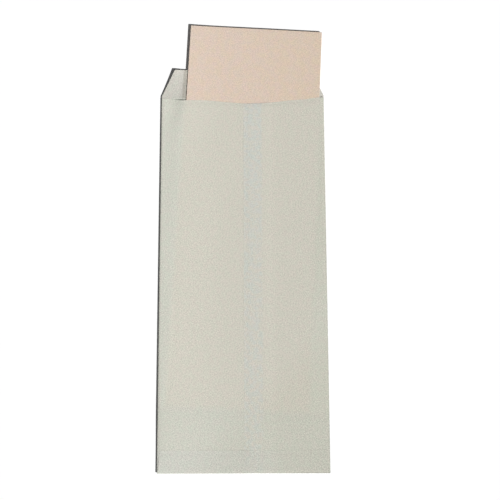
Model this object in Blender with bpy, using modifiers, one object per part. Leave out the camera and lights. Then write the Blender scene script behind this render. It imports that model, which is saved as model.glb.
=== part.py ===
# A tall paper envelope, open at its short upper end, lying on its plain front, with a stiff card in it.
# The envelope is one folded sheet: a front, two side panels lapped and glued at the back, a bottom flap
# glued over them and an open seal flap. X runs across, Y towards the mouth, Z up, in metres.
# The origin is the middle of the front's underside.
import math

import bmesh
import bpy

# Envelope
BODY_WIDTH = 0.105           # over the two side folds
BODY_HEIGHT = 0.241          # bottom fold to the seal flap's fold
PAPER = 0.0002               # thickness of the sheet
GLUE = 0.00004               # space that the glue takes between two layers
FOLD_GAP = 0.0003            # space that stays open inside a pressed fold
FOLD_REACH = 0.018           # the card opens a side fold less and less up to this far from its edge
RIGHT_PANEL = 0.052          # right fold to the edge of the seam that shows
SEAM_LAP = 0.0115            # how far the left panel goes on under the right one
LAP_EASE = 0.0015            # length over which a layer climbs onto another's edge
PANEL_CUT = 0.0005           # the side panels stop this far above the bottom fold
BOTTOM_FLAP = 0.0137         # bottom fold to the edge of the bottom flap
BOTTOM_FLAP_TAPER = 0.0015   # how far that edge is in from each side
SEAL_FLAP = 0.018            # length of the seal flap
SEAL_FLAP_TAPER = 0.0087     # how far its edge is in from each side
FLAP_LIFT = 0.0006           # how far its edge stands up
SHOULDER = 0.0004            # length over which the front spreads flat above a side fold's end
THROAT_DROP = 0.0025         # ends of the mouth, below the seal flap's fold
THROAT_DIP = 0.0033          # lowest point of the mouth, below its ends
THROAT_DIP_WIDTH = 0.072
THROAT_DEPTH = 0.012         # the dip fades out over this length of wall

# Card
CARD_LENGTH = 0.248
CARD_THICKNESS = 0.0004
CARD_PLAY = 0.019            # the envelope is this much wider than the card
CARD_END = 0.0419            # the card's lower left corner, above the bottom fold
CORNER_ROOM = 0.0055         # from that corner to the left side
MOUTH_ROOM = 0.0029          # from the card's right edge to the right side, at the mouth
CLEARANCE = 0.0003           # between the card and the paper

# Colours of the paper and the card, linear
PAPER_COLOUR = (0.616, 0.609, 0.525, 1.0)
CARD_COLOUR = (0.694, 0.578, 0.468, 1.0)

# Steps in the mesh
FOLD_STEPS = 6
SLOPE_STEPS = 5
WALL_STEPS = 7
LAP_STEPS = 2

# Places on the envelope
HALF_WIDTH = BODY_WIDTH / 2
BOTTOM_Y = -BODY_HEIGHT / 2
FLAP_FOLD_Y = BODY_HEIGHT / 2
FLAP_EDGE_Y = FLAP_FOLD_Y + SEAL_FLAP
MOUTH_Y = FLAP_FOLD_Y - THROAT_DROP
LAYER = PAPER + GLUE
FRONT_Z = PAPER / 2
PRESSED_RADIUS = (FOLD_GAP + PAPER) / 2
PRESSED_Z = FRONT_Z + 2 * PRESSED_RADIUS
PRESSED_X = HALF_WIDTH - PAPER / 2 - PRESSED_RADIUS
BOTTOM_RADIUS = PRESSED_RADIUS + LAYER / 2
BOTTOM_ARC_Y = BOTTOM_Y + PAPER / 2 + BOTTOM_RADIUS
PANEL_END_Y = BOTTOM_ARC_Y + PANEL_CUT
BOTTOM_FLAP_Y = BOTTOM_Y + BOTTOM_FLAP
SEAM_X = HALF_WIDTH - RIGHT_PANEL
HIDDEN_X = SEAM_X + SEAM_LAP
SEAM_FOOT_X = SEAM_X - PAPER - LAP_EASE
HIDDEN_FOOT_X = HIDDEN_X + PAPER + LAP_EASE

# Place of the card: it leans from its lower left corner to the right end of the mouth
CARD_WIDTH = BODY_WIDTH - CARD_PLAY
CORNER_X = -HALF_WIDTH + CORNER_ROOM
CORNER_Y = BOTTOM_Y + CARD_END
LEAN_X = HALF_WIDTH - MOUTH_ROOM - CORNER_X
LEAN_Y = MOUTH_Y - CORNER_Y
CARD_TURN = math.acos(CARD_WIDTH / math.hypot(LEAN_X, LEAN_Y)) - math.atan2(LEAN_Y, LEAN_X)
CARD_END_Y = CORNER_Y - CARD_WIDTH * math.sin(CARD_TURN)
CARD_RISE = FLAP_LIFT / (FLAP_EDGE_Y - CARD_END_Y)


def blend(start, end, share):
    return start + (end - start) * share


def ease(share):
    share = min(max(share, 0.0), 1.0)
    return share * share * (3 - 2 * share)


def card_bottom_z(y):
    # The card lies on the edge of the lifted flap, so it rises evenly from its lower end
    return PAPER + CLEARANCE + CARD_RISE * (y - CARD_END_Y)


def card_left_x(y):
    # Where the wall meets the card's left edge; below the card it stays as at the card's end
    return CORNER_X + (max(y, CARD_END_Y) - CORNER_Y) * math.tan(CARD_TURN) - CLEARANCE


def card_right_x(y):
    return HALF_WIDTH - MOUTH_ROOM - (MOUTH_Y - max(y, CARD_END_Y)) * math.tan(CARD_TURN) + CLEARANCE


def opened(y):
    # 0 at the pressed bottom fold, 1 from the card's end up
    return ease((y - BOTTOM_ARC_Y) / (CARD_END_Y - CLEARANCE - BOTTOM_ARC_Y))


def over_card_z(y):
    # The back wall over the card, and further down on its way to the bottom fold
    full = card_bottom_z(max(y, CARD_END_Y)) + CARD_THICKNESS + CLEARANCE + PAPER / 2
    return blend(PRESSED_Z, full, opened(y))


def fold_radius(side, y):
    # The nearer the card's edge is to a side fold, the rounder the fold stands
    edge = HALF_WIDTH - card_right_x(y) if side > 0 else HALF_WIDTH + card_left_x(y)
    full = (over_card_z(y) - FRONT_Z) / 2
    return blend(PRESSED_RADIUS, full, opened(y) * (1 - ease(edge / FOLD_REACH)))


def fold_x(side, y):
    return side * (HALF_WIDTH - PAPER / 2 - fold_radius(side, y))


def wall_z(x, y):
    # The back wall rises from each side fold to the card's edge
    left, right = card_left_x(y), card_right_x(y)
    if left <= x <= right:
        return over_card_z(y)
    side, edge = (-1, left) if x < left else (1, right)
    start = fold_x(side, y)
    return blend(FRONT_Z + 2 * fold_radius(side, y), over_card_z(y), ease((x - start) / (edge - start)))


def over_hidden_edge(x):
    # 1 left of the left panel's covered edge, 0 to the right of it
    return ease((HIDDEN_FOOT_X - x) / LAP_EASE)


def over_seam(x):
    # 1 right of the seam's open edge, 0 to the left of it
    return ease((x - SEAM_FOOT_X) / LAP_EASE)


def bottom_flap_z(x, y):
    return wall_z(x, y) + LAYER * (1 + over_seam(x) * over_hidden_edge(x))


def throat_y(x):
    # Height of the mouth's edge: a shallow dip over the seam
    reach = (x - (SEAM_X + HIDDEN_X) / 2) / (THROAT_DIP_WIDTH / 2)
    dip = (1 + math.cos(math.pi * reach)) / 2 if abs(reach) < 1 else 0.0
    return MOUTH_Y - THROAT_DIP * dip


def steps(start, end, count):
    # Evenly spaced places from start up to, but not including, end
    return [blend(start, end, i / count) for i in range(count)]


def left_panel_xs(y):
    # From the covered edge over the card to the left fold
    edge = card_left_x(y)
    lap, wall = steps(HIDDEN_X, SEAM_X, LAP_STEPS), steps(SEAM_X, edge, WALL_STEPS)
    return lap + wall + steps(edge, fold_x(-1, y), SLOPE_STEPS)


def right_panel_xs(y):
    # From the right fold over the card to the seam's open edge
    edge = card_right_x(y)
    slope = steps(fold_x(1, y), edge, SLOPE_STEPS)
    wall = steps(edge, HIDDEN_FOOT_X, WALL_STEPS)
    climb = steps(HIDDEN_FOOT_X, HIDDEN_X + PAPER, LAP_STEPS)
    lap = steps(HIDDEN_X + PAPER, SEAM_X, LAP_STEPS)
    return slope + wall + climb + lap + [SEAM_X]


def front_xs():
    # From one pressed fold to the other, with the places where the bottom flap crosses the seam
    left, right = card_left_x(BOTTOM_Y), card_right_x(BOTTOM_Y)
    xs = steps(-PRESSED_X, left, SLOPE_STEPS) + steps(left, SEAM_FOOT_X, WALL_STEPS)
    xs += steps(SEAM_FOOT_X, SEAM_X - PAPER, LAP_STEPS) + steps(SEAM_X - PAPER, HIDDEN_X + PAPER, LAP_STEPS)
    xs += steps(HIDDEN_X + PAPER, HIDDEN_FOOT_X, LAP_STEPS) + steps(HIDDEN_FOOT_X, right, WALL_STEPS)
    return xs + steps(right, PRESSED_X, SLOPE_STEPS) + [PRESSED_X]


def sheet_columns():
    # Each column is its part of the sheet and its number or angle there, in order along the sheet
    columns = [("left", i) for i in range(len(left_panel_xs(0.0)))]
    columns += [("left_fold", math.pi * (1 - i / FOLD_STEPS)) for i in range(FOLD_STEPS)]
    columns += [("front", x) for x in front_xs()]
    columns += [("right_fold", math.pi * i / FOLD_STEPS) for i in range(1, FOLD_STEPS)]
    columns += [("right", i) for i in range(len(right_panel_xs(0.0)))]
    return columns


def sheet_rows():
    # Each row is its part of the sheet and its height or angle there, from the bottom flap's edge
    # round the bottom fold and up to the seal flap's edge
    lower = steps(PANEL_END_Y, BOTTOM_FLAP_Y, 4)
    body = lower + steps(BOTTOM_FLAP_Y, CARD_END_Y - CLEARANCE, 5)
    body += steps(CARD_END_Y - CLEARANCE, MOUTH_Y - THROAT_DEPTH, 5)
    body += steps(MOUTH_Y - THROAT_DEPTH, MOUTH_Y, 3) + [MOUTH_Y]
    rows = [("bottom_flap", y) for y in [BOTTOM_FLAP_Y] + lower[::-1]]
    rows += [("bottom_fold", math.pi * (1 - i / FOLD_STEPS)) for i in range(FOLD_STEPS + 1)]
    rows += [("body", y) for y in body]
    seal_flap = [MOUTH_Y + SHOULDER] + steps(FLAP_FOLD_Y, FLAP_EDGE_Y, 3) + [FLAP_EDGE_Y]
    return rows + [("seal_flap", y) for y in seal_flap]


def side_fold_point(side, angle, y):
    radius = fold_radius(side, y)
    return fold_x(side, y) + side * radius * math.sin(angle), y, FRONT_Z + radius * (1 - math.cos(angle))


def back_point(x, y, lift):
    # The top rows of the back bend down to the dip of the mouth
    share = max(0.0, (y - MOUTH_Y + THROAT_DEPTH) / THROAT_DEPTH)
    y += share * (throat_y(x) - MOUTH_Y)
    return x, y, wall_z(x, y) + lift


def bottom_flap_point(x, y):
    # Only the two side slopes are drawn in, so the flap's columns keep their places over the seam
    share = (y - BOTTOM_ARC_Y) / (BOTTOM_FLAP_Y - BOTTOM_ARC_Y)
    left, right = card_left_x(BOTTOM_Y), card_right_x(BOTTOM_Y)
    if x < left:
        x = left - (left - x) * (1 - share * BOTTOM_FLAP_TAPER / (left + PRESSED_X))
    elif x > right:
        x = right + (x - right) * (1 - share * BOTTOM_FLAP_TAPER / (PRESSED_X - right))
    return x, y, bottom_flap_z(x, y)


def front_point(x, row_part, place):
    # The front and both flaps are one strip of the sheet
    if row_part == "bottom_flap":
        return bottom_flap_point(x, place)
    if row_part == "bottom_fold":
        top = bottom_flap_z(x, BOTTOM_ARC_Y)
        z = blend(FRONT_Z, top, (1 - math.cos(place)) / 2)
        return x, BOTTOM_ARC_Y - BOTTOM_RADIUS * math.sin(place), z
    if row_part == "seal_flap":
        share = max(0.0, (place - FLAP_FOLD_Y) / SEAL_FLAP)
        half_width = HALF_WIDTH - SEAL_FLAP_TAPER * share
        return x / PRESSED_X * half_width, place, FRONT_Z + FLAP_LIFT * share
    side = 1 if x > 0 else -1
    return x / PRESSED_X * abs(fold_x(side, place)), place, FRONT_Z


def sheet_point(column, row):
    column_part, across = column
    row_part, place = row
    if column_part == "front":
        return front_point(across, row_part, place)
    if row_part != "body":
        return None
    if column_part == "left":
        return back_point(left_panel_xs(place)[across], place, 0.0)
    if column_part == "right":
        x = right_panel_xs(place)[across]
        return back_point(x, place, LAYER * over_hidden_edge(x))
    side = -1 if column_part == "left_fold" else 1
    return side_fold_point(side, across, place)


def make_envelope(collection):
    # The flat sheet is a grid; its corners are cut away, and what is left is folded into place
    columns = sheet_columns()
    rows = sheet_rows()
    bm = bmesh.new()
    bmesh.ops.create_grid(bm, x_segments=len(columns) - 1, y_segments=len(rows) - 1, size=BODY_WIDTH)
    bm.verts.ensure_lookup_table()
    off_sheet = []
    for index, vert in enumerate(bm.verts):
        row, column = divmod(index, len(columns))
        point = sheet_point(columns[column], rows[row])
        if point is None:
            off_sheet.append(vert)
        else:
            vert.co = point
    bmesh.ops.delete(bm, geom=off_sheet, context="VERTS")
    bmesh.ops.recalc_face_normals(bm, faces=bm.faces)
    mesh = bpy.data.meshes.new("envelope")
    bm.to_mesh(mesh)
    bm.free()
    envelope = bpy.data.objects.new("envelope", mesh)
    collection.objects.link(envelope)
    thickness = envelope.modifiers.new("paper thickness", "SOLIDIFY")
    thickness.thickness = PAPER
    thickness.offset = 0.0
    thickness.use_even_offset = True
    thickness.use_quality_normals = True
    mesh.materials.append(make_material("envelope paper", PAPER_COLOUR, 0.85))
    mesh.shade_smooth()
    mesh.set_sharp_from_angle(angle=math.radians(40))


def make_card(collection):
    # A flat card cut square, turned by its lean in the pocket and tilted up onto the flap's edge
    bm = bmesh.new()
    bmesh.ops.create_cube(bm, size=1.0)
    bmesh.ops.scale(bm, vec=(CARD_WIDTH, CARD_LENGTH, CARD_THICKNESS), verts=bm.verts)
    mesh = bpy.data.meshes.new("insert_card")
    bm.to_mesh(mesh)
    bm.free()
    card = bpy.data.objects.new("insert_card", mesh)
    collection.objects.link(card)
    half_width, half_length = CARD_WIDTH / 2, CARD_LENGTH / 2
    x = CORNER_X + half_width * math.cos(CARD_TURN) + half_length * math.sin(CARD_TURN)
    y = CORNER_Y - half_width * math.sin(CARD_TURN) + half_length * math.cos(CARD_TURN)
    card.location = (x, y, card_bottom_z(y) + CARD_THICKNESS / 2)
    card.rotation_mode = "ZYX"
    card.rotation_euler = (math.atan(CARD_RISE), 0.0, -CARD_TURN)
    mesh.materials.append(make_material("card stock", CARD_COLOUR, 0.7))


def make_material(name, colour, roughness):
    material = bpy.data.materials.new(name)
    material.use_nodes = True
    shader = material.node_tree.nodes["Principled BSDF"]
    shader.inputs["Base Color"].default_value = colour
    shader.inputs["Roughness"].default_value = roughness
    shader.inputs["Metallic"].default_value = 0.0
    return material


def main():
    for old in list(bpy.data.objects):
        bpy.data.objects.remove(old, do_unlink=True)
    collection = bpy.data.collections.new("paper_envelope")
    bpy.context.scene.collection.children.link(collection)
    make_envelope(collection)
    make_card(collection)


main()
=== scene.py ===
# A tall paper envelope lying seam side up, its seal flap open and a stiff card standing out of its mouth.
# Metres throughout: x runs across, y towards the mouth, z up, and the front panel lies on z = 0.
import math

import bmesh
import bpy
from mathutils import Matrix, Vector


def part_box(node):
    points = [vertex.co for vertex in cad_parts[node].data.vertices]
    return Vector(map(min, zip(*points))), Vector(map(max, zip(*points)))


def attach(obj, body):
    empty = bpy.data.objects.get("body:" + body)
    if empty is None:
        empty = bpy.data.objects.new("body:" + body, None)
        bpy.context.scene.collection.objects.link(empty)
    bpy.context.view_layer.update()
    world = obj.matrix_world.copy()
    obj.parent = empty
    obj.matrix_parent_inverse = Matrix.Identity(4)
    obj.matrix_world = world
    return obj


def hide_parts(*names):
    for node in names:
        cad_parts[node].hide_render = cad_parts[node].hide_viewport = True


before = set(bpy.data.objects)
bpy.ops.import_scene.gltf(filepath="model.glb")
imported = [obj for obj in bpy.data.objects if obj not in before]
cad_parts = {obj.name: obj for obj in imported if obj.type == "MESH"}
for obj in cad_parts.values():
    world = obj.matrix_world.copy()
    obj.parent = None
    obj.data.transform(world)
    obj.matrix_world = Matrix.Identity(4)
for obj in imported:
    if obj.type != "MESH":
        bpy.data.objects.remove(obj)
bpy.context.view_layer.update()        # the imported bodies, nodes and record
print("frame loaded")


# small helpers for modelling

acrossAxis = Vector((1, 0, 0))
alongAxis = Vector((0, 1, 0))
near = 0.000001              # places closer than this are the same


def blend(start, end, share):
    return start + (end - start) * share


def ease(share):
    # soft ramp from 0 to 1
    share = min(max(share, 0.0), 1.0)
    return share * share * (3 - 2 * share)


def hump(distance, width):
    # 1 on a ridge's crest, fading to 0 at its foot
    return math.exp(-(distance / width) ** 2)


def divided(start, end, count):
    # the places that divide the way from start to end into equal parts
    return [blend(start, end, i / count) for i in range(1, count)]


def spaced(start, end, step):
    # the same, with parts of about one step
    return divided(start, end, max(1, round((end - start) / step)))


def openForEdit(obj):
    bpy.ops.object.select_all(action="DESELECT")
    obj.select_set(True)
    bpy.context.view_layer.objects.active = obj
    bpy.ops.object.mode_set(mode="EDIT")
    bpy.ops.mesh.select_mode(type="EDGE")
    bpy.ops.mesh.select_all(action="DESELECT")


def pickEdges(obj, test):
    # selects the edges whose two ends pass the test
    bpy.ops.mesh.select_all(action="DESELECT")
    mesh = bmesh.from_edit_mesh(obj.data)
    for edge in mesh.edges:
        edge.select_set(test(edge.verts[0].co) and test(edge.verts[1].co))
    bmesh.update_edit_mesh(obj.data)


def cutAt(places, axis):
    # cuts everything square across at each place along an axis
    for place in places:
        bpy.ops.mesh.select_all(action="SELECT")
        bpy.ops.mesh.bisect(plane_co=axis * place, plane_no=axis, threshold=near)


def closeEdit():
    bpy.ops.mesh.select_all(action="DESELECT")
    bpy.ops.object.mode_set(mode="OBJECT")


def handOver(obj, node):
    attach(obj, "root")
    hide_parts(node)


# the envelope: one sheet, folded at both sides and the bottom, lapped and glued at the back

envelope = {
    "paper": 0.00014,            # thickness of the sheet
    "glue": 0.00002,             # space that the glue takes between two layers
    "foldGap": 0.00008,          # space inside a pressed fold
    "foldReach": 0.018,          # the card opens a side fold less and less up to this far away
    "rightPanel": 0.052,         # right fold to the open edge of the seam
    "seamLap": 0.0115,           # how far the left panel goes on under the right one
    "lapFoot": 0.003,            # the bottom flap starts to climb this far before the seam's open edge
    "lapEase": 0.007,            # and is up after this length
    "hiddenEase": 0.008,         # length over which the right panel climbs onto the covered edge
    "edgeThin": 0.2,             # glued edges are pressed to this share of the sheet's thickness
    "edgeReach": 0.004,          # over this length
    "panelCut": 0.0005,          # the side panels stop this far above the bottom fold
    "bottomFlap": 0.0137,
    "bottomFlapTaper": 0.0015,   # how far its edge is in from each side
    "sealFlap": 0.018,
    "sealFlapTaper": 0.0084,
    "flapLift": 0.0006,          # how far the seal flap's edge curls up
    "cornerLift": 0.0007,        # and its free corner beside the card stands up this much more
    "cornerLiftWidth": 0.008,
    "sideLift": 0.00075,         # the left side doesn't lie quite flat
    "sideLiftWidth": 0.040,
    "drawnUp": 0.0036,           # beside the card the front comes up to it over this length
    "drawnUpDepth": 0.012,       # and from the mouth down into the pocket
    "mouthReach": 0.024,         # from this far below the mouth up, the back rises to it more suddenly
    "mouthSuddenness": 3,
    "shoulder": 0.0004,          # the front spreads flat over this length above the side folds
    "throatDrop": 0.0013,        # ends of the mouth, below the seal flap's fold
    "throatShoulder": 0.0015,    # the mouth's rounded ends come down this far
    "throatShoulderWidth": 0.014,
    "throatDip": 0.0026,         # and its middle this much further
    "throatDipWidth": 0.072,
    "throatDepth": 0.012,        # the dip fades out over this length of wall
    "overCard": 0.000015,        # between the back and the card
    "rimDepth": 0.004,           # length of the mouth's rim that is cut finer
    "waveFade": 0.006,           # the waves die out this far from a fold
    "gridStep": 0.002,
    "rimCuts": 12,               # parts that the mouth's rim is cut into
    "footCuts": 5,               # and the foot of the lap's climb
    "hiddenCuts": 6,             # and the climb onto the covered edge
    "edgeCuts": 8,               # and each pressed edge
    "foldSteps": 8,
    "smoothAngle": 40,           # edges sharper than this many degrees stay sharp
}

# where the paper of the back stands up a little: middle, direction in degrees, length, width, height
paperWaves = [
    {"place": (0.021, 0.026), "turn": -31, "length": 0.030, "width": 0.008, "height": 0.00014},
    {"place": (-0.044, -0.040), "turn": 88, "length": 0.034, "width": 0.007, "height": 0.00012},
    {"place": (-0.020, 0.070), "turn": 70, "length": 0.040, "width": 0.012, "height": 0.00010},
    {"place": (0.030, -0.045), "turn": 80, "length": 0.045, "width": 0.013, "height": 0.00010},
]

# the card that stands in it
card = {
    "length": 0.248,
    "thickness": 0.0004,
    "play": 0.019,               # the envelope is this much wider than the card
    "end": 0.0419,               # its lower left corner, above the bottom fold
    "cornerRoom": 0.0055,        # from that corner to the left side
    "mouthRoom": 0.0029,         # from its right edge to the right side, at the mouth
    "mouthBelow": 0.0025,        # where that is, below the seal flap's fold
    "restGap": 0.00003,          # between its lower end and the front panel
    "freeLift": 0.001,           # its free end stands this much higher than its lower one
    "topSkew": 0.6,              # degrees that the top is cut out of square
    "overWidth": 0.0001,         # wider than the solid that it stands for
    "clearance": 0.0003,         # to the paper beside it
    "cornerRound": 0.0005,
    "cornerSegments": 4,
    "edgeRound": 0.00006,
    "edgeSegments": 2,
    "edgeStrip": 0.0003,         # flat up to this close to its edges
    "bow": 0.0001,               # its middle stands a little proud of its edges
    "gridStep": 0.004,
    "smoothAngle": 50,
}

envelopeLow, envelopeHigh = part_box("envelope")
halfWidth = envelopeHigh.x
bottomY = envelopeLow.y
flapEdgeY = envelopeHigh.y
flapFoldY = flapEdgeY - envelope["sealFlap"]
mouthY = flapFoldY - envelope["throatDrop"]
layer = envelope["paper"] + envelope["glue"]
frontZ = envelope["paper"] / 2
pressedRadius = (envelope["foldGap"] + envelope["paper"]) / 2
pressedZ = frontZ + 2 * pressedRadius
pressedX = halfWidth - envelope["paper"] / 2 - pressedRadius
bottomRadius = pressedRadius + layer / 2
bottomArcY = bottomY + envelope["paper"] / 2 + bottomRadius
panelEndY = bottomArcY + envelope["panelCut"]
bottomFlapY = bottomY + envelope["bottomFlap"]
seamX = halfWidth - envelope["rightPanel"]
hiddenX = seamX + envelope["seamLap"]
seamFootX = seamX - envelope["lapFoot"]
hiddenFootX = hiddenX + envelope["paper"] + envelope["hiddenEase"]

# the card leans from its lower left corner to the right end of the mouth
cardWidth = 2 * halfWidth - card["play"]
cornerX = -halfWidth + card["cornerRoom"]
cornerY = bottomY + card["end"]
leanX = halfWidth - card["mouthRoom"] - cornerX
leanY = flapFoldY - card["mouthBelow"] - cornerY
cardTurn = math.acos(cardWidth / math.hypot(leanX, leanY)) - math.atan2(leanY, leanX)
cardEndY = cornerY - cardWidth * math.sin(cardTurn)
cardMiddle = Vector((
    cornerX + cardWidth / 2 * math.cos(cardTurn) + card["length"] / 2 * math.sin(cardTurn),
    cornerY - cardWidth / 2 * math.sin(cardTurn) + card["length"] / 2 * math.cos(cardTurn),
    0,
))


def cardBottomZ(y):
    # flat in the pocket, rising towards its free end
    return envelope["paper"] + card["restGap"] + card["freeLift"] * ((y - cardEndY) / card["length"]) ** 2


def cardLeftX(y):
    return cornerX + (max(y, cardEndY) - cornerY) * math.tan(cardTurn) - card["clearance"]


def cardRightX(y):
    return cardLeftX(y) + cardWidth / math.cos(cardTurn) + 2 * card["clearance"]


def cardBow(x, y):
    # how far the card's surface stands above its two long edges
    fromMiddle = (x - (cardLeftX(y) + cardRightX(y)) / 2) / (cardWidth / 2)
    return card["bow"] * max(0.0, 1 - fromMiddle ** 2)


def opened(y):
    # 0 at the pressed bottom fold, 1 from the card's end up
    return ease((y - bottomArcY) / (cardEndY - card["clearance"] - bottomArcY))


def overCardZ(y):
    thickness = card["thickness"] + envelope["overCard"] + envelope["paper"] / 2
    return blend(pressedZ, cardBottomZ(max(y, cardEndY)) + thickness, opened(y))


def foldRadius(side, y):
    # the nearer the card's edge is to a side fold, the rounder the fold stands
    edge = halfWidth - cardRightX(y) if side > 0 else halfWidth + cardLeftX(y)
    full = (overCardZ(y) - frontZ) / 2
    return blend(pressedRadius, full, opened(y) * (1 - ease(edge / envelope["foldReach"])))


def foldX(side, y):
    return side * (halfWidth - envelope["paper"] / 2 - foldRadius(side, y))


def waveZ(x, y):
    # the gentle waves of the back, still at the folds and at the bottom
    fromSide = min(x - foldX(-1, y), foldX(1, y) - x) / envelope["waveFade"]
    fromBottom = (y - bottomFlapY) / envelope["waveFade"]
    height = 0.0
    for wave in paperWaves:
        turn = math.radians(wave["turn"])
        dx = x - wave["place"][0]
        dy = y - wave["place"][1]
        lengthwise = dx * math.cos(turn) + dy * math.sin(turn)
        crosswise = dy * math.cos(turn) - dx * math.sin(turn)
        height += wave["height"] * hump(lengthwise, wave["length"]) * hump(crosswise, wave["width"])
    return height * ease(fromSide) * ease(fromBottom)


def wallZ(x, y):
    # the back rises from each side fold to the card's edge, more suddenly at the mouth
    height = overCardZ(y)
    side = -1 if x < cardLeftX(y) else 1
    edge = cardLeftX(y) if side < 0 else cardRightX(y)
    if x * side > edge * side:
        start = foldX(side, y)
        suddenness = blend(1, envelope["mouthSuddenness"], besideMouth(y))
        share = ease((x - start) / (edge - start)) ** suddenness
        height = blend(frontZ + 2 * foldRadius(side, y), height, share)
    return height + cardBow(x, y) * opened(y) + waveZ(x, y)


def besideMouth(y):
    # 1 at the mouth, 0 further down
    return ease(1 - (mouthY - y) / envelope["mouthReach"])


def sideLiftZ(x):
    return envelope["sideLift"] * ease(1 - (x + halfWidth) / envelope["sideLiftWidth"])


def drawnUpZ(x, y, height):
    # the front panel and the seal flap come up to the card's underside, from the mouth on
    underside = cardBottomZ(y) + cardBow(x, y) + sideLiftZ(x)
    room = underside - envelope["paper"] / 2 - card["restGap"] - height
    across = ease((x - cardLeftX(y)) / envelope["drawnUp"] + 1)
    across *= ease((cardRightX(y) - x) / envelope["drawnUp"] + 1)
    along = ease(1 - (mouthY - y) / envelope["drawnUpDepth"])
    return max(0.0, room) * across * along


def overHidden(x):
    # 1 left of the covered edge, 0 to the right of it
    return ease((hiddenFootX - x) / envelope["hiddenEase"])


def overSeam(x):
    # 1 right of the seam's open edge, 0 to the left of it
    return ease((x - seamFootX) / envelope["lapEase"])


def bottomFlapZ(x, y):
    return wallZ(x, y) + layer * (1 + overSeam(x) * overHidden(x))


def pressed(distance):
    # 1 at a cut edge that lies against something, 0 where the sheet has its full thickness
    return ease(1 - distance / envelope["edgeReach"])


def pressedDrop(distance):
    # how far such an edge comes down onto what it lies on
    return envelope["paper"] * (1 - envelope["edgeThin"]) / 2 * pressed(distance)


def sideOf(co):
    return 1 if co.x > 0 else -1


def settledX(co):
    # x between the side folds, once these stand as round as the card makes them
    return co.x / pressedX * abs(foldX(sideOf(co), co.y))


# each part of the sheet is settled from the flat folded shape by one of these

def settleFront(co):
    x = settledX(co)
    z = frontZ + sideLiftZ(x)
    return x, co.y, z + drawnUpZ(x, co.y, z)


def settleSideFold(co):
    side = sideOf(co)
    angle = math.atan2(abs(co.x) - pressedX, frontZ + pressedRadius - co.z)
    radius = foldRadius(side, co.y)
    x = foldX(side, co.y)
    z = frontZ + sideLiftZ(x) + radius * (1 - math.cos(angle))
    return x + side * radius * math.sin(angle), co.y, z


def settleBack(co):
    x = settledX(co)
    reach = (x - (seamX + hiddenX) / 2) / (envelope["throatDipWidth"] / 2)
    dip = (1 + math.cos(math.pi * reach)) / 2 if abs(reach) < 1 else 0.0
    dip *= envelope["throatDip"]
    dip += envelope["throatShoulder"] * ease((pressedX - abs(co.x)) / envelope["throatShoulderWidth"])
    y = co.y - dip * max(0.0, 1 - (mouthY - co.y) / envelope["throatDepth"])
    return x, y, wallZ(x, y) + sideLiftZ(x) - pressedDrop(mouthY - co.y)


def settleRight(co):
    x, y, z = settleBack(co)
    return x, y, z + layer * overHidden(x) - pressedDrop(co.x - seamX)


def settleBottomFold(co):
    angle = math.atan2(bottomArcY - co.y, frontZ + bottomRadius - co.z)
    z = blend(frontZ, bottomFlapZ(co.x, bottomArcY), (1 - math.cos(angle)) / 2)
    return co.x, co.y, z + sideLiftZ(co.x)


def settleBottomFlap(co):
    share = (co.y - bottomArcY) / (bottomFlapY - bottomArcY)
    x = co.x * (1 - share * envelope["bottomFlapTaper"] / pressedX)
    return x, co.y, bottomFlapZ(x, co.y) + sideLiftZ(x) - pressedDrop(bottomFlapY - co.y)


def settleSealFlap(co):
    share = max(0.0, (co.y - flapFoldY) / envelope["sealFlap"])
    width = halfWidth - envelope["sealFlapTaper"] * share
    spread = ease((co.y - mouthY) / envelope["shoulder"])
    x = co.x / pressedX * blend(abs(foldX(sideOf(co), mouthY)), width, spread)
    beside = ease((cardLeftX(co.y) - x) / envelope["cornerLiftWidth"])
    z = frontZ + envelope["flapLift"] * share ** 2 + envelope["cornerLift"] * share * beside
    z += sideLiftZ(x)
    return x, co.y, z + drawnUpZ(x, co.y, z)


def settlerFor(centre):
    # which part of the flat folded sheet a face belongs to, by its middle
    if centre.y > mouthY:
        return settleSealFlap
    if centre.y < bottomArcY:
        return settleBottomFold
    if centre.z > pressedZ + layer / 2:
        return settleBottomFlap
    if abs(centre.x) > pressedX:
        return settleSideFold
    if centre.z < pressedZ - envelope["paper"] / 2:
        return settleFront
    return settleBack if centre.x < 0 else settleRight


settlers = [
    settleFront,
    settleSideFold,
    settleBack,
    settleRight,
    settleBottomFold,
    settleBottomFlap,
    settleSealFlap,
]


def foldSide(sheet, side):
    # turns the front's side edge over by half a turn and draws the panel out of it
    pickEdges(sheet, lambda co: co.x * side > pressedX - near)
    bpy.ops.mesh.spin(
        steps=envelope["foldSteps"],
        angle=math.pi * side,
        center=(side * pressedX, 0, frontZ + pressedRadius),
        axis=(0, 1, 0),
    )
    pickEdges(sheet, lambda co: co.x * side > pressedX - near and co.z > pressedZ - near)
    reach = pressedX + hiddenX if side < 0 else seamX - pressedX
    bpy.ops.mesh.extrude_edges_move(TRANSFORM_OT_translate={"value": (reach, 0, 0)})


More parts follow.
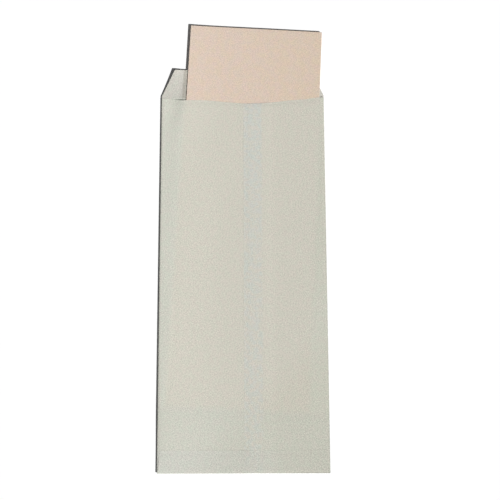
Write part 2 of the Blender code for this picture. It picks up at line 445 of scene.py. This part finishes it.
def makeEnvelope():
    length = mouthY - bottomArcY
    bpy.ops.object.select_all(action="DESELECT")
    bpy.ops.mesh.primitive_plane_add(size=1, location=(0, (mouthY + bottomArcY) / 2, frontZ))
    sheet = bpy.context.active_object
    sheet.name = "envelopeSheet"
    sheet.scale = (2 * pressedX, length, 1)
    bpy.ops.object.transform_apply(location=True, rotation=True, scale=True)
    openForEdit(sheet)
    foldSide(sheet, -1)
    foldSide(sheet, 1)

    # the side panels stop short of the bottom fold
    pickEdges(sheet, lambda co: co.z > pressedZ - near and co.y < panelEndY)
    bpy.ops.transform.translate(value=(0, envelope["panelCut"], 0))

    # the bottom edge is turned up over the back, and the top edge drawn out as the seal flap
    pickEdges(sheet, lambda co: co.y < bottomArcY + near and co.z < frontZ + near)
    bpy.ops.mesh.spin(
        steps=envelope["foldSteps"],
        angle=math.pi,
        center=(0, bottomArcY, frontZ + bottomRadius),
        axis=(1, 0, 0),
    )
    pickEdges(sheet, lambda co: co.y < bottomArcY + near and co.z > frontZ + 2 * bottomRadius - near)
    bpy.ops.mesh.extrude_edges_move(TRANSFORM_OT_translate={"value": (0, bottomFlapY - bottomArcY, 0)})
    pickEdges(sheet, lambda co: co.y > mouthY - near and co.z < frontZ + near)
    bpy.ops.mesh.extrude_edges_move(TRANSFORM_OT_translate={"value": (0, flapEdgeY - mouthY, 0)})
    closeEdit()
    for face in sheet.data.polygons:
        face.material_index = settlers.index(settlerFor(face.center))
    print("sheet folded flat")
    openForEdit(sheet)

    # cut finer where a layer climbs over another and at the pressed edges, evenly elsewhere
    climbs = [seamFootX, seamX - envelope["paper"], hiddenX + envelope["paper"], hiddenFootX]
    across = spaced(-pressedX, seamFootX, envelope["gridStep"]) + climbs
    across += divided(seamFootX, seamX, envelope["footCuts"])
    across += spaced(seamX, hiddenX, envelope["gridStep"])
    across += divided(hiddenX, hiddenFootX, envelope["hiddenCuts"])
    across += divided(seamX, seamX + envelope["edgeReach"], envelope["edgeCuts"])
    across += spaced(hiddenFootX, pressedX, envelope["gridStep"])
    cutAt(across, acrossAxis)
    rimFootY = mouthY - envelope["rimDepth"]
    along = spaced(bottomFlapY, rimFootY, envelope["gridStep"])
    along += spaced(bottomArcY, bottomFlapY, envelope["gridStep"])
    along += divided(bottomFlapY - envelope["edgeReach"], bottomFlapY, envelope["edgeCuts"])
    along += divided(rimFootY, mouthY, envelope["rimCuts"])
    along += [rimFootY, mouthY + envelope["shoulder"], flapFoldY]
    along += spaced(flapFoldY, flapEdgeY, envelope["gridStep"])
    cutAt(along, alongAxis)
    closeEdit()
    print("sheet cut into", len(sheet.data.polygons), "faces")

    # the paper settles over the card
    settler = {}
    for face in sheet.data.polygons:
        for index in face.vertices:
            settler[index] = settlers[face.material_index]
        face.material_index = 0
    thickness = sheet.vertex_groups.new(name="paper thickness")
    onRim = []
    for vertex in sheet.data.vertices:
        settle = settler[vertex.index]
        thin = 0.0
        if settle is settleBottomFlap:
            thin = pressed(bottomFlapY - vertex.co.y)
        elif settle in (settleBack, settleRight):
            thin = pressed(mouthY - vertex.co.y)
        if settle is settleRight:
            thin = max(thin, pressed(vertex.co.x - seamX))
        onRim.append(thin)
        thickness.add([vertex.index], 1 - thin, "REPLACE")
        vertex.co = settle(vertex.co)
    rim = sheet.data.attributes.new("rim", "FLOAT", "POINT")
    rim.data.foreach_set("value", onRim)

    openForEdit(sheet)
    bpy.ops.mesh.select_all(action="SELECT")
    bpy.ops.mesh.remove_doubles(threshold=near)
    bpy.ops.mesh.normals_make_consistent(inside=False)
    closeEdit()
    thicken = sheet.modifiers.new("paper thickness", "SOLIDIFY")
    thicken.thickness = envelope["paper"]
    thicken.offset = 0
    thicken.vertex_group = thickness.name
    thicken.thickness_vertex_group = envelope["edgeThin"]
    thicken.use_even_offset = True
    thicken.use_quality_normals = True
    bpy.ops.object.modifier_apply(modifier=thicken.name)
    bpy.ops.object.shade_smooth_by_angle(angle=math.radians(envelope["smoothAngle"]))
    handOver(sheet, "envelope")
    print("envelope made")
    return sheet


def makeCard():
    bpy.ops.object.select_all(action="DESELECT")
    bpy.ops.mesh.primitive_cube_add(size=1, scale=(cardWidth, card["length"], card["thickness"]))
    board = bpy.context.active_object
    board.name = "cardSheet"
    bpy.ops.object.transform_apply(location=False, rotation=False, scale=True)
    openForEdit(board)

    # corners barely rounded, as a guillotine leaves them after handling
    mesh = bmesh.from_edit_mesh(board.data)
    for edge in mesh.edges:
        edge.select_set(abs(edge.verts[0].co.z - edge.verts[1].co.z) > card["thickness"] / 2)
    bmesh.update_edit_mesh(board.data)
    bpy.ops.mesh.bevel(offset=card["cornerRound"], segments=card["cornerSegments"], affect="EDGES")
    halfThick = card["thickness"] / 2
    for side in (-1, 1):
        pickEdges(board, lambda co: abs(co.z - side * halfThick) < near)
        bpy.ops.mesh.bevel(offset=card["edgeRound"], segments=card["edgeSegments"], affect="EDGES")
    for reach, axis in ((cardWidth / 2, acrossAxis), (card["length"] / 2, alongAxis)):
        strip = reach - card["edgeStrip"]
        cutAt([-strip, strip] + spaced(-strip, strip, card["gridStep"]), axis)
    closeEdit()

    # its top is a little out of square, and all of it lies in the pocket and rises towards its free end
    for vertex in board.data.vertices:
        share = ease(vertex.co.y / (card["length"] / 2))
        vertex.co.y -= vertex.co.x * math.tan(math.radians(card["topSkew"])) * share
        vertex.co.x *= 1 + card["overWidth"] / cardWidth
    board.location = (cardMiddle.x, cardMiddle.y, halfThick)
    board.rotation_euler = (0, 0, -cardTurn)
    bpy.ops.object.transform_apply(location=True, rotation=True, scale=True)
    for vertex in board.data.vertices:
        x, y = vertex.co.xy
        vertex.co.z += cardBottomZ(y) + cardBow(x, y) + sideLiftZ(x)
    bpy.ops.object.shade_smooth_by_angle(angle=math.radians(card["smoothAngle"]))
    handOver(board, "insert_card")
    print("card made")
    return board


# shader nodes, with sums on their values written as plain sums

class Value:
    def __init__(self, look, socket):
        self.look = look
        self.socket = socket

    def maths(self, operation, first, second):
        return self.look.add("ShaderNodeMath", {"operation": operation}, {0: first, 1: second})

    def __add__(self, other):
        return self.maths("ADD", self, other)

    def __radd__(self, other):
        return self.maths("ADD", other, self)

    def __sub__(self, other):
        return self.maths("SUBTRACT", self, other)

    def __rsub__(self, other):
        return self.maths("SUBTRACT", other, self)

    def __mul__(self, other):
        return self.maths("MULTIPLY", self, other)

    def __rmul__(self, other):
        return self.maths("MULTIPLY", other, self)

    def __abs__(self):
        return self.look.add("ShaderNodeMath", {"operation": "ABSOLUTE"}, {0: self})


class Look:
    # the nodes of one material, or of the world
    def __init__(self, owner):
        owner.use_nodes = True
        self.owner = owner
        self.tree = owner.node_tree
        self.tree.nodes.clear()

    def add(self, kind, settings, sockets, output=0):
        # settings come first, because some of them change which sockets there are
        node = self.tree.nodes.new(kind)
        for key, setting in settings.items():
            setattr(node, key, setting)
        for key, value in sockets.items():
            if isinstance(value, Value):
                self.tree.links.new(value.socket, node.inputs[key])
            else:
                node.inputs[key].default_value = value
        return Value(self, node.outputs[output]) if node.outputs else None

    def ramp(self, value, low, high):
        # 0 below low, 1 above high, soft at both ends
        settings = {"interpolation_type": "SMOOTHSTEP"}
        return self.add("ShaderNodeMapRange", settings, {0: value, 1: low, 2: high})

    def mix(self, share, first, second, blendType="MIX"):
        # a Mix node has sockets of the same names for numbers and colours, so these go by place
        settings = {"data_type": "RGBA", "blend_type": blendType}
        return self.add("ShaderNodeMix", settings, {0: share, 6: first, 7: second}, 2)

    def tinted(self, colour, tint, share=1.0):
        return self.mix(share, colour, tint, "MULTIPLY")

    def brighten(self, colour, factor):
        return self.add("ShaderNodeVectorMath", {"operation": "SCALE"}, {0: colour, 3: factor})

    def noise(self, place, scale, detail=3.0, roughness=0.6):
        # flat noise, so that it is as strong on the higher parts of the paper as on the lower ones
        sockets = {"Vector": place, "Scale": scale, "Detail": detail, "Roughness": roughness}
        return self.add("ShaderNodeTexNoise", {"noise_dimensions": "2D"}, sockets)

    def turned(self, place, degrees, middle=(0, 0, 0), stretch=1):
        # the places round a middle, turned, with what lies on them drawn out along their second axis
        sockets = {
            "Vector": place,
            "Location": middle,
            "Rotation": (0, 0, math.radians(degrees)),
            "Scale": (1, stretch, 1),
        }
        return self.add("ShaderNodeMapping", {"vector_type": "TEXTURE"}, sockets)

    def axes(self, place):
        first = self.add("ShaderNodeSeparateXYZ", {}, {0: place})
        return [Value(self, socket) for socket in first.socket.node.outputs]

    def bump(self, height, distance):
        sockets = {"Height": height, "Strength": 1.0, "Distance": distance}
        return self.add("ShaderNodeBump", {}, sockets)

    def seen(self):
        # 1 for what is looked at, also in metal or through glass, and 0 for what sheds light
        camera = self.add("ShaderNodeLightPath", {}, {}, "Is Camera Ray")
        outputs = camera.socket.node.outputs
        return camera + Value(self, outputs["Is Glossy Ray"]) + Value(self, outputs["Is Transmission Ray"])

    def finish(self, obj, sockets):
        shader = self.add("ShaderNodeBsdfPrincipled", {}, sockets)
        self.add("ShaderNodeOutputMaterial", {}, {"Surface": shader})
        obj.data.materials.clear()
        obj.data.materials.append(self.owner)


def sway(pattern, strength):
    # a pattern of values round a half, as a change of tone round zero
    return (pattern - 0.5) * strength


white = (1, 1, 1, 1)

# a name that ends in Range holds the two places, distances or values between which something fades
paperLook = {
    "colour": (0.615, 0.617, 0.542, 1),
    "overCard": (0.612, 0.593, 0.516, 1),      # where the card shows through one layer
    "fadeInside": 0.001,                       # that starts to fade this far inside the card's edges
    "fadeOutside": 0.003,                      # and is gone this far outside them
    "doubled": (0.595, 0.598, 0.539, 1),       # where two layers hide it
    "doubledLower": 0.65,                      # share of that further down
    "doubledRange": (0.02, 0.08),
    "doubledHidden": 0.6,                      # what the bottom flap hides of it
    "sharpBorder": 0.0002,                     # half the width of a border on top of the paper
    "hiddenBorder": 0.0008,                    # and of one that shows through it
    "hiddenWander": 0.003,                     # how far the glue line under the lap wanders
    "hiddenWanderScale": 230,
    "backRange": (0.0003, 0.0004),             # heights between the front panel and the back

    # hue: each tint multiplies the colour
    "pinkPatch": (1.016, 0.994, 1.000, 1),
    "greenPatch": (0.989, 1.006, 0.994, 1),
    "patchScale": 240,
    "patchRange": (0.35, 0.65),
    "warmPatch": (1.028, 0.998, 0.982, 1),     # the doubled band is the most mottled
    "coolPatch": (0.978, 1.000, 1.024, 1),
    "lapPatchScale": 310,
    "lapPatchRange": (0.38, 0.62),
    # painted shade right of the card, a little yellower
    "rightOfCardShadeAndYellow": (0.922, 0.916, 0.897, 1),
    "rightFade": 0.6,                          # share of that which is lost towards the lower right
    "rightFadeRange": (0.02, 0.10),
    "inside": (1.016, 0.986, 1.012, 1),
    "besideCard": (0.860, 0.840, 0.815, 1),    # painted shadow of the card on the inside of the seal flap
    "besideCardMiddle": 0.0014,                # middle of that strip, left of the card
    "besideCardRange": (0.0009, 0.0020),
    # painted shade towards the lower right, a little yellower
    "lowerRightShadeAndYellow": (0.962, 0.958, 0.942, 1),
    "lowerRightRange": (0.067, 0.11),
    "bottomFlap": (1.004, 1.007, 1.033, 1),
    "bottomFlapRange": (0.008, 0.030),

    # tone: shares of brightness that are added or taken away
    "tone": 0.991,
    # painted light: the paper is painted brighter to the left and darker to the right
    "paintedLightLeftToRight": -0.85,                      # per metre
    "belowCardShade": 0.05,                    # where there is no card inside
    "lapSpared": 0.8,                          # what the lap keeps off of that
    # painted light: the upper left of the body is painted brighter
    "upperLeftPaintedLight": 0.018,
    "upperLeftRange": (0.10, 0.15),
    "insideShade": 0.13,
    "rimPaintedHighlight": 0.035,                         # painted highlight along the pressed edges
    "cardEdgePaintedHighlight": 0.03,                     # painted highlight where the paper bends over the card's left edge
    "cardEdgeRange": (0.0004, 0.0022),
    "cardEdgeMiddle": -0.042,                  # middle of the highlighted length
    "cardEdgeLengthRange": (0.022, 0.036),
    "edgeShade": 0.10,                         # painted shade along the side and bottom edges
    "edgeRange": (0.0002, 0.0012),
    "foldShade": 0.50,                         # the right fold itself
    "foldRange": (0.00005, 0.0002),
    "foldSideRange": (-0.01, 0.01),
    "bottomEdgeRange": (0.0001, 0.0008),
    "lowerEdgeShade": 0.20,                    # the bottom fold at its right end
    "lowerEdgeRange": (0.025, 0.038),

    # the sheet itself
    "clouds": 0.03,
    "cloudScale": 260,
    "cloudRelief": 0.5,
    "mottle": 0.09,
    "mottleScale": 700,
    "grain": 0.90,
    "grainScale": 1700,
    "grainTurn": 31,                           # degrees, so that it doesn't run along the sheet
    "grainRelief": 0.3,
    "fibres": 0.16,
    "fibreScale": 1500,
    "fibreTurns": (8, -67),
    "fibreStretch": 5,
    "fibreRelief": 0.6,
    "reliefHeight": 0.00001,
    "roughness": 0.86,
    "roughnessSpread": 0.06,
    "roughnessRange": (0.2, 0.8),
    "specular": 0.25,
}


def finishPaper(sheet):
    look = Look(bpy.data.materials.new("grey green envelope paper"))
    place = look.add("ShaderNodeTexCoord", {}, {}, "Object")
    across, along, up = look.axes(place)
    sharp = paperLook["sharpBorder"]
    isBack = look.ramp(up, *paperLook["backRange"])
    inBody = 1 - look.ramp(along, mouthY - sharp, mouthY)
    rim = look.add("ShaderNodeAttribute", {"attribute_name": "rim"}, {}, "Fac")

    # the card and the lapped seam show faintly through the paper
    cardSide = cardWidth / 2
    cardEnd = -card["length"] / 2
    fadeInside = paperLook["fadeInside"]
    fadeOutside = paperLook["fadeOutside"]
    onCard = look.turned(place, -math.degrees(cardTurn), (cardMiddle.x, cardMiddle.y, 0))
    cardAcross, cardAlong = look.axes(onCard)[:2]
    besideCard = look.ramp(abs(cardAcross), cardSide - fadeInside, cardSide + fadeOutside)
    rightOfCardShadeAndYellow = look.ramp(cardAcross, cardSide - fadeInside, cardSide + fadeOutside) * inBody
    aboveCardEnd = look.ramp(cardAlong, cardEnd - fadeOutside, cardEnd + fadeInside)
    cardMask = (1 - besideCard) * aboveCardEnd * inBody
    wander = sway(look.noise(place, paperLook["hiddenWanderScale"]), paperLook["hiddenWander"])
    hiddenFrom = hiddenX - paperLook["hiddenBorder"]
    hiddenTo = hiddenX + paperLook["hiddenBorder"]
    lapMask = look.ramp(across, seamX - sharp, seamX + sharp)
    lapMask = lapMask * (1 - look.ramp(across + wander, hiddenFrom, hiddenTo)) * isBack * inBody
    onFlap = 1 - look.ramp(along, bottomFlapY - sharp, bottomFlapY + sharp)
    lapMask = lapMask * (1 - onFlap * paperLook["doubledHidden"])
    lapGain = look.ramp(along, *paperLook["doubledRange"])
    lapStrength = lapGain * (1 - paperLook["doubledLower"]) + paperLook["doubledLower"]
    colour = look.mix(cardMask, paperLook["colour"], paperLook["overCard"])
    colour = look.mix(lapMask * lapStrength, colour, paperLook["doubled"])

    # soft patches of hue, more of them on the lap
    patches = look.ramp(look.noise(place, paperLook["patchScale"]), *paperLook["patchRange"])
    tint = look.mix(patches, paperLook["greenPatch"], paperLook["pinkPatch"])
    colour = look.tinted(colour, tint)
    lapPatches = look.ramp(look.noise(place, paperLook["lapPatchScale"]), *paperLook["lapPatchRange"])
    tint = look.mix(lapPatches, paperLook["coolPatch"], paperLook["warmPatch"])
    colour = look.tinted(colour, tint, lapMask)

    # parts with a hue of their own, and painted shade right of the card, beside the card on the seal flap
    # and towards the lower right
    # painted shade right of the card, a little yellower, fading towards the lower right
    fading = 1 - look.ramp(across - along, *paperLook["rightFadeRange"]) * paperLook["rightFade"]
    colour = look.tinted(colour, paperLook["rightOfCardShadeAndYellow"], rightOfCardShadeAndYellow * aboveCardEnd * fading)
    # painted shadow of the card on the seal flap, in a strip left of the card
    fromStrip = abs(cardAcross + cardSide + paperLook["besideCardMiddle"])
    paintedCardShadow = 1 - look.ramp(fromStrip, *paperLook["besideCardRange"])
    colour = look.tinted(colour, paperLook["inside"], 1 - inBody)
    colour = look.tinted(colour, paperLook["besideCard"], paintedCardShadow * (1 - inBody))
    # painted shade towards the lower right, a little yellower
    lowerRightShadeAndYellow = look.ramp(across - along, *paperLook["lowerRightRange"])
    colour = look.tinted(colour, paperLook["lowerRightShadeAndYellow"], lowerRightShadeAndYellow)
    flapTint = onFlap * (1 - look.ramp(across, *paperLook["bottomFlapRange"]))
    colour = look.tinted(colour, paperLook["bottomFlap"], flapTint)

    # cloudy sheet with a fine grain and a few long fibres
    clouds = look.noise(place, paperLook["cloudScale"])
    mottle = look.noise(place, paperLook["mottleScale"], detail=2.0)
    grain = look.noise(look.turned(place, paperLook["grainTurn"]), paperLook["grainScale"], detail=1.0)
    lengthFibres, crossFibres = [
        look.noise(
            look.turned(place, turn, stretch=paperLook["fibreStretch"]),
            paperLook["fibreScale"],
            detail=2.0,
            roughness=0.5,
        )
        for turn in paperLook["fibreTurns"]
    ]
    fibres = (lengthFibres + crossFibres) * 0.5

    # painted light and shade: a painted highlight where the paper bends over the card's left edge,
    # brighter to the left and to the upper left, darker where no card lies inside and on the inside of the
    # seal flap, and painted highlights along the pressed edges
    onCardEdge = 1 - look.ramp(abs(cardAcross + cardSide), *paperLook["cardEdgeRange"])
    fromHighlightMiddle = abs(along - paperLook["cardEdgeMiddle"])
    onCardEdge = onCardEdge * (1 - look.ramp(fromHighlightMiddle, *paperLook["cardEdgeLengthRange"]))
    # painted light: brighter to the left, darker to the right
    tone = paperLook["tone"] + across * paperLook["paintedLightLeftToRight"] + onCardEdge * paperLook["cardEdgePaintedHighlight"]
    noCard = (1 - aboveCardEnd) * (1 - lapMask * paperLook["lapSpared"]) * inBody
    tone = tone - noCard * paperLook["belowCardShade"]
    # painted shade on the inside of the seal flap, and a painted highlight along the pressed edges of the
    # mouth, the seam and the bottom flap
    tone = tone - (1 - inBody) * (1 - rim) * paperLook["insideShade"] + rim * paperLook["rimPaintedHighlight"]
    # painted light: the upper left of the body is painted brighter
    upperLeft = look.ramp(along - across, *paperLook["upperLeftRange"])
    tone = tone + upperLeft * inBody * paperLook["upperLeftPaintedLight"]

    # painted shade: the side edges, the right fold and the bottom edge are painted darker
    fromEdge = halfWidth - abs(across)
    sideEdge = 1 - look.ramp(fromEdge, *paperLook["edgeRange"])
    tone = tone - sideEdge * inBody * paperLook["edgeShade"]
    foldSide = look.ramp(across, *paperLook["foldSideRange"])
    foldLine = (1 - look.ramp(fromEdge, *paperLook["foldRange"])) * foldSide
    tone = tone - foldLine * inBody * paperLook["foldShade"]
    fromBottom = [bottomY + distance for distance in paperLook["bottomEdgeRange"]]
    bottomEdge = 1 - look.ramp(along, *fromBottom)
    tone = tone - bottomEdge * paperLook["edgeShade"]
    lowerEdge = bottomEdge * look.ramp(across, *paperLook["lowerEdgeRange"])
    tone = tone - lowerEdge * paperLook["lowerEdgeShade"]
    tone = tone + sway(clouds, paperLook["clouds"]) + sway(mottle, paperLook["mottle"])
    tone = tone + sway(grain, paperLook["grain"]) + sway(fibres, paperLook["fibres"])

    relief = fibres * paperLook["fibreRelief"] + grain * paperLook["grainRelief"]
    relief = relief + clouds * paperLook["cloudRelief"]
    spread = look.ramp(grain, *paperLook["roughnessRange"]) * paperLook["roughnessSpread"]
    look.finish(sheet, {
        "Base Color": look.brighten(colour, tone),
        "Roughness": spread + paperLook["roughness"],
        "Normal": look.bump(relief, paperLook["reliefHeight"]),
        "Specular IOR Level": paperLook["specular"],
    })
    print("paper finished")


cardLook = {
    "colour": (0.686, 0.562, 0.468, 1),
    "rightSide": (0.985, 0.985, 0.955, 1),     # tints multiply the colour
    "rightSideRange": (-0.01, 0.05),
    "pinkPatch": (1.018, 0.990, 1.000, 1),
    "greenPatch": (0.994, 1.008, 0.992, 1),
    "patchScale": 200,
    "patchRange": (0.35, 0.65),
    "yellowPatch": (1.006, 1.003, 0.968, 1),
    "greyPatch": (0.994, 0.997, 1.022, 1),
    "yellowScale": 170,
    "yellowRange": (0.36, 0.64),
    "tone": 0.994,
    # painted light: the card is painted brighter to the left and darker to the right
    "paintedLightLeftToRight": -0.70,                      # share of brightness per metre
    "clouds": 0.08,
    "cloudScale": 300,
    "cloudRelief": 0.4,
    "mottle": 0.14,
    "mottleScale": 700,
    "grain": 0.78,
    "grainScale": 1700,
    "grainTurn": 31,
    "grainRelief": 0.6,
    "reliefHeight": 0.000008,
    "roughness": 0.72,
    "roughnessSpread": 0.06,
    "roughnessRange": (0.2, 0.8),
    "specular": 0.3,
}


def finishCard(board):
    look = Look(bpy.data.materials.new("pinkish beige card stock"))
    place = look.add("ShaderNodeTexCoord", {}, {}, "Object")
    across = look.axes(place)[0]

    # soft patches of hue, and a right side that is a little yellower
    patches = look.ramp(look.noise(place, cardLook["patchScale"]), *cardLook["patchRange"])
    tint = look.mix(patches, cardLook["greenPatch"], cardLook["pinkPatch"])
    colour = look.tinted(cardLook["colour"], tint)
    yellowed = look.ramp(look.noise(place, cardLook["yellowScale"]), *cardLook["yellowRange"])
    tint = look.mix(yellowed, cardLook["greyPatch"], cardLook["yellowPatch"])
    colour = look.tinted(colour, tint)
    rightSide = look.ramp(across, *cardLook["rightSideRange"])
    colour = look.tinted(colour, look.mix(rightSide, white, cardLook["rightSide"]))

    # uneven tone, painted light that is brighter to the left and darker to the right, and a fine grain
    clouds = look.noise(place, cardLook["cloudScale"])
    mottle = look.noise(place, cardLook["mottleScale"], detail=2.0)
    grain = look.noise(look.turned(place, cardLook["grainTurn"]), cardLook["grainScale"], detail=1.0)
    tone = cardLook["tone"] + across * cardLook["paintedLightLeftToRight"] + sway(clouds, cardLook["clouds"])
    tone = tone + sway(mottle, cardLook["mottle"]) + sway(grain, cardLook["grain"])

    relief = grain * cardLook["grainRelief"] + clouds * cardLook["cloudRelief"]
    spread = look.ramp(grain, *cardLook["roughnessRange"]) * cardLook["roughnessSpread"]
    look.finish(board, {
        "Base Color": look.brighten(colour, tone),
        "Roughness": spread + cardLook["roughness"],
        "Normal": look.bump(relief, cardLook["reliefHeight"]),
        "Specular IOR Level": cardLook["specular"],
    })
    print("card finished")


# floor, light and camera

studio = {
    "floorSize": 6.0,
    "floorDrop": 0.00005,
    "floorColour": (0.97, 0.97, 0.97, 1),
    "whitening": 0.04,                     # what the camera sees of the floor beyond its own colour
    "keyShare": 0.95,                      # of the light on a level surface; the world gives the rest
    "keyElevation": 36,
    "keyAzimuth": -46,                     # from the lower right, in degrees from +x
    "keySoftness": 2,                      # degrees that it is wide
    "lens": 86.4,
    "clipStart": 0.01,
    "cameraPlace": (0.0137, -0.1499, 0.7379),
    "cameraTurn": (12.830, 0.772, -0.208),
}


def makeFloor():
    bpy.ops.object.select_all(action="DESELECT")
    bpy.ops.mesh.primitive_plane_add(size=studio["floorSize"], location=(0, 0, -studio["floorDrop"]))
    floor = bpy.context.active_object
    floor.name = "studioFloor"
    look = Look(bpy.data.materials.new("plain white floor"))
    matte = look.add("ShaderNodeBsdfDiffuse", {}, {"Color": studio["floorColour"]})
    strength = look.seen() * studio["whitening"]
    glow = look.add("ShaderNodeEmission", {}, {"Color": white, "Strength": strength})
    both = look.add("ShaderNodeAddShader", {}, {0: matte, 1: glow})
    look.add("ShaderNodeOutputMaterial", {}, {"Surface": both})
    floor.data.materials.append(look.owner)
    print("floor made")


def makeLight():
    # the surroundings look white and shed only a part of the light
    world = bpy.data.worlds.new("soft white surroundings")
    bpy.context.scene.world = world
    look = Look(world)
    limits = {"Value": look.seen(), "To Min": 1 - studio["keyShare"], "To Max": 1}
    strength = look.add("ShaderNodeMapRange", {}, limits)
    surroundings = look.add("ShaderNodeBackground", {}, {"Color": white, "Strength": strength})
    look.add("ShaderNodeOutputWorld", {}, {"Surface": surroundings})

    elevation = math.radians(studio["keyElevation"])
    azimuth = math.radians(studio["keyAzimuth"])
    towards = Vector((math.cos(azimuth), math.sin(azimuth), math.tan(elevation)))
    bpy.ops.object.light_add(type="SUN", location=towards)
    key = bpy.context.active_object
    key.name = "keyLight"
    key.rotation_euler = towards.to_track_quat("Z", "Y").to_euler()
    key.data.energy = math.pi * studio["keyShare"] / math.sin(elevation)
    key.data.angle = math.radians(studio["keySoftness"])
    print("lights placed")


def makeCamera():
    turn = [math.radians(angle) for angle in studio["cameraTurn"]]
    bpy.ops.object.camera_add(location=studio["cameraPlace"], rotation=turn)
    camera = bpy.context.active_object
    camera.name = "photoCamera"
    camera.data.lens = studio["lens"]
    camera.data.clip_start = studio["clipStart"]
    bpy.context.scene.camera = camera
    bpy.context.scene.view_settings.view_transform = "Standard"
    print("camera placed")


makeCamera()
makeFloor()
makeLight()
envelopeSheet = makeEnvelope()
cardSheet = makeCard()
finishPaper(envelopeSheet)
finishCard(cardSheet)
